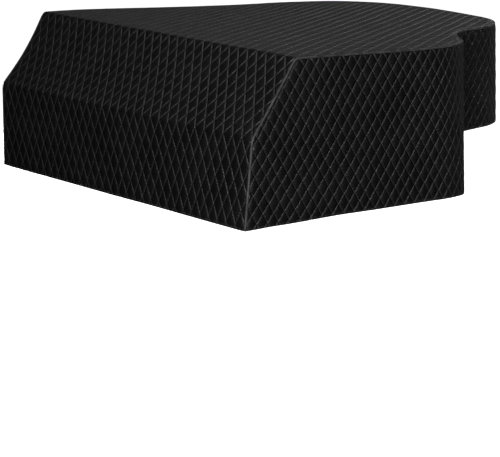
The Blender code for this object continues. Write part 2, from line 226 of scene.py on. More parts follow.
class Signal:
    # a socket of a shader, on which ordinary sums add Math nodes

    def __init__(self, tree, socket=None):
        self.tree = tree
        self.socket = socket

    def node(self, kind, settings=None, sockets=None, output=0):
        made = self.tree.nodes.new("ShaderNode" + kind)
        for name, value in (settings or {}).items():
            setattr(made, name, value)
        for key, value in (sockets or {}).items():
            if isinstance(value, Signal):
                self.tree.links.new(value.socket, made.inputs[key])
            else:
                made.inputs[key].default_value = value
        return Signal(self.tree, made.outputs[output])

    def maths(self, operation, *values):
        return self.node("Math", {"operation": operation}, dict(enumerate(values)))

    def __add__(self, other):
        return self.maths("ADD", self, other)

    __radd__ = __add__

    def __sub__(self, other):
        return self.maths("SUBTRACT", self, other)

    def __rsub__(self, other):
        return self.maths("SUBTRACT", other, self)

    def __mul__(self, other):
        return self.maths("MULTIPLY", self, other)

    def between(self, low, high):
        # 0 below low, 1 above high, smooth between them
        sockets = {"Value": self, "From Min": low, "From Max": high}
        return self.node("MapRange", {"interpolation_type": "SMOOTHSTEP"}, sockets)

    def layer(self, name):
        # flat positions kept on the mesh, then their first and second parts
        flat = self.node("UVMap", {"uv_map": name})
        first = self.node("SeparateXYZ", sockets={0: flat})
        return flat, first, Signal(self.tree, first.socket.node.outputs[1])

    def fromLine(self):
        # 0 at a whole number, on a stitched line, and 1 midway between two
        return self.maths("PINGPONG", self, 0.5) * 2

    def noise(self, place, scale, detail, stretch=None, roughness=0.5):
        if stretch:
            place = self.node("Mapping", sockets={"Vector": place, "Scale": stretch})
        sockets = {"Vector": place, "Scale": scale, "Detail": detail, "Roughness": roughness}
        return self.node("TexNoise", sockets=sockets)

    def into(self, node, name):
        self.tree.links.new(self.socket, node.inputs[name])


def mixColours(amount, first, second):
    sockets = {"Factor": amount, 6: first, 7: second}
    return amount.node("Mix", {"data_type": "RGBA"}, sockets, output=2)


def newMaterial(name):
    material = bpy.data.materials.new(name)
    material.use_nodes = True
    tree = material.node_tree
    return material, Signal(tree), tree.nodes["Principled BSDF"]


def finishShader(shader, colour, rough, specular, height, distance=1.0):
    colour.into(shader, "Base Color")
    rough.into(shader, "Roughness")
    shader.inputs["Specular IOR Level"].default_value = specular
    height.node("Bump", sockets={"Distance": distance, "Height": height}).into(shader, "Normal")


quiltedLook = {
    "colour": (0.0012, 0.0012, 0.00125, 1.0),
    # worn is the colour of wear, and also of the painted highlight towards the stitching
    "worn": (0.0032, 0.0032, 0.0033, 1.0),
    "grooveHighlight": (0.0050, 0.0050, 0.0052, 1.0),  # painted highlight along the stitching, where the steep flanks beside each stitched line catch the light
    "grooveHighlightReach": (0.05, 0.22),
    "thread": (0.012, 0.012, 0.0124, 1.0),
    "threadShare": 0.7,
    "wear": (0.35, 0.25, 0.18),  # how far blotches and streaks fade the cloth, and how far a painted highlight makes it paler towards the stitching
    "blotchRange": (0.35, 0.68),
    "blotchSize": 0.16,
    "streakRange": (0.42, 0.70),
    "streakSize": 0.05,
    "streakStretch": (0.16, 1.6, 1),
    "stitchReach": (0.05, 0.75),
    "roughness": 0.42,
    "roughnessRange": (0.10, 0.06),  # from the crumple and from the blotches
    "specular": 0.09,
    "noiseRoughness": 0.55,
    "threadPitch": 0.00085,  # one thread of the weave
    "weaveDepth": 0.000035,
    "stitchPitch": 0.0032,
    "stitchedRun": 0.0405,  # of a stitched line from one crossing to the next
    "dashEdge": (-0.35, 0.15),
    "dashWidth": (0.014, 0.030),
    "threadDepth": 0.00025,
    "wrinkleSize": 0.016,
    "wrinkleStretch": (0.5, 1.5, 1),
    "wrinkleDepth": 0.0055,
    "crumpleShare": 0.35,  # of a wrinkle's size
    "crumpleDepth": 0.0004,
    "diamond": 0.0375,  # width between two stitched lines, on average
    "crease": 0.0046,  # reach of the sharp fall beside a stitched line
    "creaseRound": 1.25,
    "creaseDepth": 0.0030,
    "roundDepth": 0.0022,
}


def quiltedClothMaterial():
    look = quiltedLook
    material, new, shader = newMaterial("quilted cloth")
    cloth, acrossCloth, upCloth = new.layer("cloth")
    _, firstWay, secondWay = new.layer("quilt")
    nearFirst, nearSecond = firstWay.fromLine(), secondWay.fromLine()
    inward = new.maths("MINIMUM", nearFirst, nearSecond)

    # fine plain weave
    turn = 2 * math.pi / look["threadPitch"]
    warp = new.maths("SINE", acrossCloth * turn)
    weft = new.maths("SINE", upCloth * turn)
    weave = warp * weft

    # wrinkles that run in from the stitching, and a finer crumple
    def noise(size, detail, stretch=None):
        return new.noise(cloth, 1 / size, detail, stretch, look["noiseRoughness"])

    pucker = new.maths("ABSOLUTE", noise(look["wrinkleSize"], 1.0, look["wrinkleStretch"]) - 0.5)
    crumple = noise(look["wrinkleSize"] * look["crumpleShare"], 2.0)
    blotch = noise(look["blotchSize"], 3.0)
    streak = noise(look["streakSize"], 2.0, look["streakStretch"])
    # painted highlight: paler towards the stitched lines, where the flanks catch the light
    stitchHighlightShare = 1 - inward.between(*look["stitchReach"])

    # dashes of thread in the stitched lines
    def dashes(across, along):
        run = new.maths("SINE", along * (2 * math.pi * look["stitchedRun"] / look["stitchPitch"]))
        return run.between(*look["dashEdge"]) * (1 - across.between(*look["dashWidth"]))

    thread = new.maths("MAXIMUM", dashes(nearFirst, secondWay), dashes(nearSecond, firstWay))

    # blotches and streaks are wear; the paleness towards the stitching is painted highlight
    byBlotch, byStreak, byStitch = look["wear"]
    paler = blotch.between(*look["blotchRange"]) * byBlotch + streak.between(*look["streakRange"]) * byStreak
    ground = mixColours(paler + stitchHighlightShare * byStitch, look["colour"], look["worn"])
    # painted highlight: the cloth is painted paler beside the stitched lines, where the flanks catch the
    # light
    highlightedGrooves = (1 - inward.between(*look["grooveHighlightReach"])) * (0.75 + pucker * 0.5)
    ground = mixColours(highlightedGrooves, ground, look["grooveHighlight"])
    colour = mixColours(thread * look["threadShare"], ground, look["thread"])
    crumpled, blotched = look["roughnessRange"]
    rough = look["roughness"] + (crumple - 0.5) * crumpled + blotch * blotched

    def creased(near):
        steps = new.maths("MINIMUM", near * (look["diamond"] / 2 / look["crease"]), 1.0)
        return 1 - new.maths("POWER", 1 - steps, look["creaseRound"])

    def rounded(near):
        return 1 - new.maths("POWER", 1 - near, 2.0)

    height = creased(nearFirst) * creased(nearSecond) * look["creaseDepth"]
    height = height + rounded(nearFirst) * rounded(nearSecond) * look["roundDepth"]
    height = height + pucker * look["wrinkleDepth"] + crumple * look["crumpleDepth"]
    height = height + weave * look["weaveDepth"] + thread * look["threadDepth"]
    finishShader(shader, colour, rough, look["specular"], height)
    return material


liningLook = {
    "colour": (0.013, 0.013, 0.014, 1.0),
    "worn": (0.024, 0.024, 0.025, 1.0),
    "wear": (0.6, 0.3),  # how far blotches and stitching fade the cloth
    "roughness": 0.80,
    "roughnessRange": 0.16,
    "specular": 0.25,
    "blotchScale": 7.0,
    "crumpleScale": 220.0,
    "crumpleDepth": 0.00025,
    "stitchReach": 0.10,
    "stitchDepth": 0.0007,
}


def liningMaterial():
    look = liningLook
    material, new, shader = newMaterial("lining")
    cloth = new.node("UVMap", {"uv_map": "cloth"})
    _, firstWay, secondWay = new.layer("quilt")
    inward = new.maths("MINIMUM", firstWay.fromLine(), secondWay.fromLine())
    stitched = 1 - inward.between(0.0, look["stitchReach"])
    crumple = new.noise(cloth, look["crumpleScale"], 3.0)
    blotch = new.noise(cloth, look["blotchScale"], 3.0)
    byBlotch, byStitch = look["wear"]
    paler = blotch.between(0.3, 0.7) * byBlotch + stitched * byStitch
    shade = mixColours(paler, look["colour"], look["worn"])
    rough = look["roughness"] + (crumple - 0.5) * look["roughnessRange"]
    height = crumple * look["crumpleDepth"] - stitched * look["stitchDepth"]
    finishShader(shader, shade, rough, look["specular"], height)
    return material


pipingLook = {
    "colour": (0.007, 0.007, 0.0072, 1.0),
    "worn": (0.021, 0.021, 0.0215, 1.0),
    "roughness": 0.60,
    "roughnessRange": 0.16,
    "specular": 0.12,
    "blotchScale": 30.0,
    "twill": (0.0022, 0.0030),  # from one rib to the next, along the cord and round it
    "twillDepth": 0.00010,
    "pinchScale": 130.0,
    "pinchStretch": (1, 0.5, 1),
    "pinchDepth": 0.0009,
}


def pipingMaterial():
    look = pipingLook
    material, new, shader = newMaterial("piping cloth")
    route, along, around = new.layer("cloth")
    ribs = [2 * math.pi / pitch for pitch in look["twill"]]
    twill = new.maths("SINE", along * ribs[0] + around * ribs[1])
    pinch = new.noise(route, look["pinchScale"], 3.0, look["pinchStretch"])
    blotch = new.noise(route, look["blotchScale"], 2.0)
    shade = mixColours(blotch.between(0.3, 0.7), look["colour"], look["worn"])
    rough = look["roughness"] + (pinch - 0.5) * look["roughnessRange"]
    height = twill * look["twillDepth"] + pinch * look["pinchDepth"]
    finishShader(shader, shade, rough, look["specular"], height)
    return material


threadLook = {
    "colour": (0.018, 0.018, 0.019, 1.0),
    "worn": (0.040, 0.040, 0.042, 1.0),
    "roughness": 0.45,
    "roughnessRange": 0.2,
    "specular": 0.5,
    "fibreScale": 1500.0,
    "fibreDepth": 0.0002,
}


def threadMaterial():
    look = threadLook
    material, new, shader = newMaterial("sewing thread")
    fibre = new.noise(new.node("TexCoord", output=3), look["fibreScale"], 2.0)
    shade = mixColours(fibre.between(0.3, 0.7), look["colour"], look["worn"])
    rough = look["roughness"] + (fibre - 0.5) * look["roughnessRange"]
    finishShader(shader, shade, rough, look["specular"], fibre, look["fibreDepth"])
    return material


def asMesh(bm, name):
    mesh = bpy.data.meshes.new(name)
    bm.to_mesh(mesh)
    bm.free()
    return mesh


def addObject(name, data):
    piece = bpy.data.objects.new(name, data)
    bpy.context.scene.collection.objects.link(piece)
    return piece


def printTriangles(mesh):
    print(mesh.name, sum(len(face.vertices) - 2 for face in mesh.polygons), "triangles")


def segmentDistance(points, starts, ends):
    along = ends - starts
    least = np.full(len(points), np.inf)
    for start, way in zip(starts, along):
        offset = points - start
        share = np.clip(offset @ way / (way @ way), 0, 1)
        least = np.minimum(least, np.linalg.norm(offset - share[:, None] * way, axis=1))
    return least


def isInside(points, starts, ends):
    crossings = np.zeros(len(points), dtype=int)
    for (x1, y1), (x2, y2) in zip(starts, ends):
        if y1 == y2:
            continue
        spans = (y1 > points[:, 1]) != (y2 > points[:, 1])
        cut = x1 + (points[:, 1] - y1) / (y2 - y1) * (x2 - x1)
        crossings += spans & (points[:, 0] < cut)
    return crossings % 2 == 1


def stretchOut(values, lines):
    # positions of lattice numbers, carried on past both ends of the list
    numbers = np.arange(len(lines))
    inner = np.interp(values, numbers, lines)
    before = lines[0] + values * (lines[1] - lines[0])
    after = lines[-1] + (values - numbers[-1]) * (lines[-1] - lines[-2])
    return np.where(values < 0, before, np.where(values > numbers[-1], after, inner))


def countLines(places, lines):
    numbers = np.arange(len(lines))
    inner = np.interp(places, lines, numbers)
    before = (places - lines[0]) / (lines[1] - lines[0])
    after = numbers[-1] + (places - lines[-1]) / (lines[-1] - lines[-2])
    return np.where(places < lines[0], before, np.where(places > lines[-1], after, inner))


# quilted cloth is laid out flat on its own stitching, cut to its pattern, then hung
quilting = {
    "cuts": {  # where the mesh is divided across a diamond, from one stitched line to the next
        6: [0.0, 0.06, 0.16, 0.5, 0.84, 0.94],
        10: [0.0, 0.045, 0.09, 0.14, 0.21, 0.5, 0.79, 0.86, 0.91, 0.955],
    },
    "flank": 0.0062,  # from a stitched line to where a diamond stops rising steeply
    "flankRound": 1.5,
    "dome": 0.50,  # share of the height that is spread over the whole diamond
    "seamPress": 0.0055,  # how near a seam the diamonds are pressed flat
    "seamRoll": 0.0090,  # over which a sewn edge bends down to its seam
    "seamDip": 0.0020,
    "hemBand": 0.0080,  # pressed flat along a hem
    "hemFade": 0.0040,  # over which the quilting rises again beside the band
    "hemRoll": 0.0012,  # by which a turned hem is thicker
    "rollPast": 0.0010,  # how far it runs past the band
    "rollFade": 0.0025,
    "rollEdge": (0.0015, 0.4),  # how the roll falls towards the hem's very edge
    "puffRange": 0.16,
    "sharpAngle": 62,
    "flatReach": 0.03,  # laid out past the pattern before it is cut
    "mergeWithin": 0.0004,
    "cutSnap": 0.00002,
    "cornerTurn": 0.25,  # sine of the least turn that makes a corner of the pattern
}


def hashed(first, second, seed):
    # a steady pseudo-random number from 0 to 1 for each diamond
    mixed = np.sin(first * 127.1 + second * 311.7 + seed * 74.7) * 43758.5453
    return mixed - np.floor(mixed)


def puffHeight(p, q, columns, rows):
    # height of the quilting, from the distances to the two nearest stitched lines
    half = columns[1] - columns[0]
    row = np.clip(np.floor(p - q).astype(int), 0, len(rows) - 2)
    rise = rows[row + 1] - rows[row]
    reach = 2 * half * rise / np.hypot(half, rise)
    offFirst = np.abs(p - np.round(p)) * reach
    offSecond = np.abs(q - np.round(q)) * reach
    rounded = 1.0
    for off in (offFirst, offSecond):
        flank = 1 - (1 - np.clip(off / quilting["flank"], 0, 1)) ** quilting["flankRound"]
        dome = np.sin(math.pi * np.clip(off / reach, 0, 0.5))
        rounded = rounded * (flank * (1 - quilting["dome"]) + dome * quilting["dome"])
    fullness = 1 - quilting["puffRange"] * hashed(np.floor(p), np.floor(q), 3)
    return cover["puff"] * rounded * fullness


def layQuilt(bm, settings):
    # the outer face: a mesh whose edges follow the stitched lines, cut to the flat pattern
    columns, rows = settings["columns"], settings["rows"]
    pattern = np.array(settings["pattern"])
    starts, ends = pattern, np.roll(pattern, -1, axis=0)
    low, high = pattern.min(0), pattern.max(0)
    iLow, iHigh = countLines(np.array([low[0], high[0]]), columns)
    jLow, jHigh = countLines(np.array([low[1], high[1]]), rows)
    cuts = np.array(quilting["cuts"][settings["fineness"]])

    def ways(first, last):
        whole = np.arange(math.floor(first) - 1, math.ceil(last) + 1)
        return (whole[:, None] + cuts[None, :]).ravel()

    pLines = ways((iLow + jLow) / 2, (iHigh + jHigh) / 2)
    qLines = ways((iLow - jHigh) / 2, (iHigh - jLow) / 2)
    p, q = (grid.ravel() for grid in np.meshgrid(pLines, qLines, indexing="ij"))
    flat = np.column_stack((stretchOut(p + q, columns), stretchOut(p - q, rows)))
    reach = quilting["flatReach"]
    near = np.all((flat > low - reach) & (flat < high + reach), axis=1)
    depth = np.full(len(flat), -1.0)
    distance = segmentDistance(flat[near], starts, ends)
    depth[near] = np.where(isInside(flat[near], starts, ends), distance, -distance)

    number = np.arange(len(flat)).reshape(len(pLines), len(qLines))
    quads = [number[:-1, :-1], number[1:, :-1], number[1:, 1:], number[:-1, 1:]]
    quads = np.column_stack([corner.ravel() for corner in quads])[:, ::-1]
    quads = quads[(depth[quads] > 0).any(1)]
    used, quads = np.unique(quads, return_inverse=True)
    quads = quads.reshape(-1, 4)
    mesh = bpy.data.meshes.new("layout")
    mesh.from_pydata([(x, v, 0.0) for x, v in flat[used]], [], quads.tolist())
    bm.from_mesh(mesh)
    bpy.data.meshes.remove(mesh)
    trimToPattern(bm, depth[used])
    squareCorners(bm, pattern)


def trimToPattern(bm, depths):
    bm.verts.ensure_lookup_table()
    depth = {vert: value for vert, value in zip(bm.verts, depths)}
    cutVerts = set()
    for edge in [edge for edge in bm.edges if (depth[edge.verts[0]] > 0) != (depth[edge.verts[1]] > 0)]:
        first, second = edge.verts
        share = depth[first] / (depth[first] - depth[second])
        added = bmesh.utils.edge_split(edge, first, share)[1]
        depth[added] = 0.0
        cutVerts.add(added)
    for face in {face for vert in cutVerts for face in vert.link_faces}:
        ends = [vert for vert in face.verts if vert in cutVerts]
        if len(ends) == 2 and not any(edge.other_vert(ends[0]) is ends[1] for edge in ends[0].link_edges):
            bmesh.utils.face_split(face, *ends)
    bmesh.ops.delete(bm, geom=[vert for vert in bm.verts if depth[vert] < 0], context="VERTS")
    border = [vert for vert in bm.verts if vert.is_boundary]
    bmesh.ops.remove_doubles(bm, verts=border, dist=quilting["mergeWithin"])


def squareCorners(bm, pattern):
    before = pattern - np.roll(pattern, 1, axis=0)
    after = np.roll(pattern, -1, axis=0) - pattern
    turn = before[:, 0] * after[:, 1] - before[:, 1] * after[:, 0]
    turn /= np.linalg.norm(before, axis=1) * np.linalg.norm(after, axis=1)
    for corner in pattern[np.abs(turn) > quilting["cornerTurn"]]:
        border = [edge for edge in bm.edges if edge.is_boundary]
        middles = np.array([(edge.verts[0].co + edge.verts[1].co) / 2 for edge in border])[:, :2]
        edge = border[int(np.argmin(np.linalg.norm(middles - corner, axis=1)))]
        added = bmesh.utils.edge_split(edge, edge.verts[0], 0.5)[1]
        added.co.xy = corner


def cutAcross(bm, faces, at, normal):
    # divides flat faces along a straight line
    faces = set(faces)
    edges = {edge for face in faces for edge in face.edges}
    verts = {vert for face in faces for vert in face.verts}
    plane = {"plane_co": (*at, 0), "plane_no": (*normal, 0), "dist": quilting["cutSnap"]}
    cut = bmesh.ops.bisect_plane(bm, geom=[*faces, *edges, *verts], **plane)["geom"]
    return {item for item in cut if isinstance(item, bmesh.types.BMFace)}


def addUnderside(bm, creasesAcross, creasesUp):
    border = [edge for edge in bm.edges if edge.is_boundary]
    made = bmesh.ops.extrude_edge_only(bm, edges=border)["geom"]
    lower = [item for item in made if isinstance(item, bmesh.types.BMVert)]
    for vert in lower:
        vert.co.z = -cover["cloth"]
    rim = [item for item in made if isinstance(item, bmesh.types.BMFace)]
    loop = [edge for edge in bm.edges if edge.is_boundary]
    under = bmesh.ops.contextual_create(bm, geom=loop)["faces"]
    plain = set(rim) | set(under)
    for places, normal in ((creasesAcross, (1, 0)), (creasesUp, (0, 1))):
        for place in places:
            plain |= cutAcross(bm, plain, (place * normal[0], place * normal[1]), normal)
    bm.normal_update()
    underside = [face for face in bm.faces if all(vert.co.z < -cover["cloth"] / 2 for vert in face.verts)]
    for face in underside:
        face.material_index = 1
        if face.normal.z > 0:
            face.normal_flip()


hemStitch = {
    "rise": 0.0062,  # above the hem's edge
    "height": 0.00125,  # of the thread's middle over the cloth's outer face
    "pitch": 0.0045,
    "length": 0.0034,
    "thickness": 0.0008,
    "seed": 7,
    "fromEnds": 0.004,
    "sample": 0.003,  # between two points of the sewn line
}
hemLines = []
cutSizes = {}


def hemSeam(settings, place):
    # where the hem is sewn, as a row of points a little above its edge
    line = np.array(sorted(settings["hem"]))
    fromEnds = hemStitch["fromEnds"]
    across = np.arange(line[0, 0] + fromEnds, line[-1, 0] - fromEnds, hemStitch["sample"])
    up = np.interp(across, *line.T) + hemStitch["rise"]
    return np.column_stack(settle(*place(across, up, hemStitch["height"]))) - origin


def cutSize(pattern):
    # the rectangle that a pattern is cut from, and the pattern's area
    spots = np.array(pattern)
    after = np.roll(spots, -1, axis=0)
    area = abs(np.sum(spots[:, 0] * after[:, 1] - after[:, 0] * spots[:, 1])) / 2
    return tuple(float(side) for side in np.ptp(spots, axis=0)), float(area)


def makeCloth(name, settings, place, materials):
    bm = bmesh.new()
    layQuilt(bm, settings)
    for fold in settings.get("folds", []):
        cutAcross(bm, bm.faces, (0, fold), (0, 1))
    addUnderside(bm, settings["creasesAcross"], settings["creasesUp"])
    columns, rows = settings["columns"], settings["rows"]
    bm.verts.index_update()
    flat = np.array([vert.co for vert in bm.verts])
    i, j = countLines(flat[:, 0], columns), countLines(flat[:, 1], rows)
    p, q = (i + j) / 2, (i - j) / 2

    clothLayer = bm.loops.layers.uv.new("cloth")
    quiltLayer = bm.loops.layers.uv.new("quilt")
    for face in bm.faces:
        face.smooth = True
        for loop in face.loops:
            k = loop.vert.index
            loop[clothLayer].uv = flat[k, 0], flat[k, 1]
            loop[quiltLayer].uv = p[k], q[k]

    # pressed flat towards its seam and its hem, where the edges also roll in
    points = flat[:, :2]
    seam, hem = np.array(settings["seam"]), np.array(settings["hem"])
    toSeam, toHem = (segmentDistance(points, line[:-1], line[1:]) for line in (seam, hem))
    outer = flat[:, 2] > -cover["cloth"] / 2
    puff = puffHeight(p, q, columns, rows)
    puff *= 1 - np.exp(-toSeam / quilting["seamPress"])
    puff *= ease((toHem - quilting["hemBand"]) / quilting["hemFade"])
    past = quilting["hemBand"] + quilting["rollPast"] - toHem
    edgeRun, edgeShare = quilting["rollEdge"]
    hemRoll = quilting["hemRoll"] * ease(past / quilting["rollFade"]) * ease(toHem / edgeRun + edgeShare)
    roll = quilting["seamDip"] * (1 - np.clip(toSeam / quilting["seamRoll"], 0, 1)) ** 2
    n = flat[:, 2] + np.where(outer, puff + hemRoll, 0.0) - roll
    hung = np.column_stack(settle(*place(points[:, 0], points[:, 1], n))) - origin
    for vert, position in zip(bm.verts, hung):
        vert.co = position
    bmesh.ops.triangulate(bm, faces=[face for face in bm.faces if len(face.verts) > 4])
    mesh = asMesh(bm, name)
    for material in materials:
        mesh.materials.append(material)
    mesh.set_sharp_from_angle(angle=math.radians(quilting["sharpAngle"]))
    printTriangles(mesh)
    hemLines.append(hemSeam(settings, place))
    cutSizes[name] = cutSize(settings["pattern"])
    return addObject(name, mesh)


def waves(first, second, seed, size, amount):
    # broad soft unevenness of cloth that hangs
    random = np.random.default_rng(seed)
    total = np.zeros_like(first)
    for _ in range(5):
        angle, phase = random.uniform(0, math.pi), random.uniform(0, 2 * math.pi)
        length = size * random.uniform(0.7, 1.5)
        total += np.sin((first * math.cos(angle) + second * math.sin(angle)) * 2 * math.pi / length + phase)
    return total * amount / 5


def lattice(start, end, step):
    return start + step * np.arange(math.ceil((end - start) / step) + 1)


# lid, keyboard slope and front skirt in one cloth
topCloth = {
    "lidDiamond": (0.0484, 0.0650),
    "slopeDiamond": 0.0720,
    "frontDiamond": 0.0880,
    "foldCuts": [-0.024, -0.015, -0.0085, -0.0045, -0.0015, 0.0015, 0.0045, 0.0085, 0.015, 0.024],
    "underFolds": (0.012, 0.011),  # half the width of each fold on the underside
    "fineness": 6,
    "waveSize": 0.42,
    "waveHeight": 0.0011,
    "waveFade": 0.08,
    "seed": 11,
}


def foldProfile(sag):
    # y, z along the cloth by its distance from the lid's front edge, with the folds rounded
    step = 0.001
    v = np.arange(-slopeLength - 0.5, 1.5, step)
    share = np.clip(-v / slopeLength, 0, 1)
    y, z = slopePoint(share, sag)
    y = y + np.clip(v, 0, None)
    z = z + np.clip(v + slopeLength, None, 0)
    reach = round(unevenness["foldRound"] / step)
    window = np.hanning(2 * reach + 3)[1:-1]
    window /= window.sum()
    inner = slice(reach, -reach)
    y, z = (np.convolve(values, window, mode="valid") for values in (y, z))
    v = v[inner]
    ahead = np.gradient(np.column_stack((y, z)), axis=0)
    ahead /= np.linalg.norm(ahead, axis=1)[:, None]
    return v, np.column_stack((y, z, -ahead[:, 1], ahead[:, 0]))


def makeTopCloth(materials):
    half = topCloth["lidDiamond"][0] / 2
    width = cover["width"]
    columns = np.linspace(-half, width + half, round(width / half) + 3)
    slopeRows = round(2 * slopeLength / topCloth["slopeDiamond"]) + 1
    slope = np.linspace(-slopeLength, 0.0, slopeRows)
    skirtDrop = cover["frontDrop"] - cover["foldDrop"]
    skirt = -slopeLength - lattice(0.0, skirtDrop, topCloth["frontDiamond"] / 2)[1:]
    lid = lattice(0.0, cover["length"] - cover["slopeRun"], topCloth["lidDiamond"][1] / 2)[1:]
    rows = np.concatenate((skirt[::-1], slope, lid))

    bends = [walk for walk in sides.walked if sides.bendsAt(walk)]
    walks = [cover["slopeRun"], *bends, sides.total - cover["slopeRun"]]
    edge = np.column_stack(sides.at(walks, outwards=-seamInset)) - (0, cover["slopeRun"])
    hem = -slopeLength - skirtDrop
    fall = unevenness["bassHemFall"]
    hemEnds = [(seamInset, hem - fall), (width - seamInset, hem)]
    hemLine = [hemEnds[0], (width / 2, hem - fall / 2 - unevenness["frontHemSag"]), hemEnds[1]]
    profiles = [foldProfile(unevenness[sag]) for sag in ("bassSag", "trebleSag")]

    def place(x, v, n):
        blend = np.clip(x / width, 0, 1)
        bass, treble = ([np.interp(v, places, column) for column in table.T] for places, table in profiles)
        y, z, normalY, normalZ = (a * (1 - blend) + b * blend for a, b in zip(bass, treble))
        inner = ease(x / topCloth["waveFade"]) * ease((width - x) / topCloth["waveFade"])
        n = n + inner * waves(x, v, topCloth["seed"], topCloth["waveSize"], topCloth["waveHeight"])
        return x, y + n * normalY, z + n * normalZ

    lidFold, frontFold = topCloth["underFolds"]
    creasesUp = [*skirt[1::2], *slope[:-1], -lidFold, 0.0, lidFold, *lid[1::2]]
    creasesUp += [-slopeLength - frontFold, -slopeLength + frontFold]
    settings = {
        "columns": columns,
        "rows": rows,
        "pattern": [*hemLine, *edge],
        "hem": hemLine,
        "seam": [hemEnds[1], *edge, hemEnds[0]],
        "fineness": topCloth["fineness"],
        "folds": [fold + step for fold in (-slopeLength, 0.0) for step in topCloth["foldCuts"]],
        "creasesAcross": columns[4:-2:3],
        "creasesUp": creasesUp,
    }
    return makeCloth("quilted_top_cloth", settings, place, materials)


# the three skirts round the sides
skirtCloths = {
    "treble": {"diamond": (0.0405, 0.0580), "waveHeight": 0.0016, "seed": 21},
    "tail": {"diamond": (0.0480, 0.0540), "waveHeight": 0.0013, "seed": 22},
    "spine": {"diamond": (0.0405, 0.0580), "waveHeight": 0.0022, "seed": 23},
}
allSkirts = {
    "fineness": 10,
    "seamGap": 0.00002,  # two skirts meet edge to edge, too close for light to pass
    "waveSize": 0.33,
    "waveStretch": 0.35,  # waves are longer down a skirt than along it
    "waveFade": 0.10,
    "underDrops": [-0.03, -0.10, -0.17, -cover["foldDrop"], -0.30, -0.37, -0.44],
}


def makeSkirt(which, start, end, materials):
    look = skirtCloths[which]
    half, rise = look["diamond"][0] / 2, look["diamond"][1] / 2
    columns = lattice(start - 2 * half, end + half, half)
    rows = -lattice(-rise, cover["frontDrop"] + unevenness["bassHemFall"], rise)[::-1]
    bends = [walk for walk in sides.walked if sides.bendsAt(walk) and start + half < walk < end - half]
    walks = sorted({*(walk for walk in columns if start + half < walk < end - half), *bends})
    if start == 0.0:
        front = [tuple(row) for row in slopeEdge(unevenness["trebleSag"], seamInset)[::-1]]
        near = seamInset
    else:
        near = start + allSkirts["seamGap"] / 2
        front = [(near, -seamInset)]
    if end == sides.total:
        back = [(sides.total - y, z) for y, z in slopeEdge(unevenness["bassSag"], seamInset)]
        far = sides.total - seamInset
    else:
        far = end - allSkirts["seamGap"] / 2
        back = [(far, -seamInset)]
    hem = [(walk, hemHeight(walk)) for walk in (near, *walks, far)]

    def place(walk, height, n):
        paler = allSkirts["waveFade"]
        top = ease(-height / paler)
        ends = ease((walk - start) / paler) * ease((end - walk) / paler)
        stretched = height * allSkirts["waveStretch"]
        ripple = waves(walk, stretched, look["seed"], allSkirts["waveSize"], look["waveHeight"])
        n = n + top * ends * ripple
        x, y = sides.at(walk, outwards=n + flare(walk, height))
        return x, y, height

    settings = {
        "columns": columns,
        "rows": rows,
        "pattern": [*hem, *back[::-1], *front[::-1]],
        "hem": hem,
        "seam": [hem[-1], *back[::-1], *front[::-1], hem[0]],
        "fineness": allSkirts["fineness"],
        "creasesAcross": [walk for walk in columns if start < walk < end][1::2] + bends[::2],
        "creasesUp": allSkirts["underDrops"],
    }
    return makeCloth(which + "_skirt_cloth", settings, place, materials)


# cord in the seam
seamCord = {
    "frontStep": 0.05,  # share of the front's height
    "lidStep": 0.03,
    "step": 0.012,
    "ringPoints": 14,
    "wobble": 0.00035,
    "wobbleRun": 5,  # rings that share a swelling
    "seed": 5,
}


def cordRoute():
    radius = cover["cordRadius"]
    width = cover["width"]

    def upFront(x, hem, sag):
        # up the corner of the front skirt, then the end of the slope
        fold = -cover["foldDrop"]
        shares = np.arange(0.0, 1.0, seamCord["frontStep"])[:-1]
        corner = [(x, radius, hem + (fold - hem) * share) for share in shares]
        return corner + [(x, y, z) for y, z in slopeEdge(sag, radius)[::-1]]

    treble = upFront(width - radius, hemHeight(0.0), unevenness["trebleSag"])
    bass = upFront(radius, hemHeight(sides.total), unevenness["bassSag"])
    step = seamCord["lidStep"]
    straight = np.arange(cover["slopeRun"] + step, cover["bendStart"], step)
    back = sides.total - np.arange(cover["slopeRun"] + step, cover["bendEnd"], step)[::-1]
    bends = [walk for walk in sides.walked if sides.bendsAt(walk)]
    lid = [(*sides.at(walk, outwards=-radius), -radius) for walk in (*straight, *bends, *back)]
    return np.array([np.array(settle(*point)) - origin for point in (*treble, *lid, *bass[::-1])])


def evenPoints(route, step):
    # the route at even steps, its corners rounded
    walked = np.concatenate(([0.0], np.cumsum(np.linalg.norm(np.diff(route, axis=0), axis=1))))
    count = round(walked[-1] / step)
    at = np.linspace(0, walked[-1], count + 1)
    points = np.column_stack([np.interp(at, walked, route[:, axis]) for axis in range(3)])
    points[1:-1] = points[1:-1] * 0.5 + (points[:-2] + points[2:]) * 0.25
    return points, at


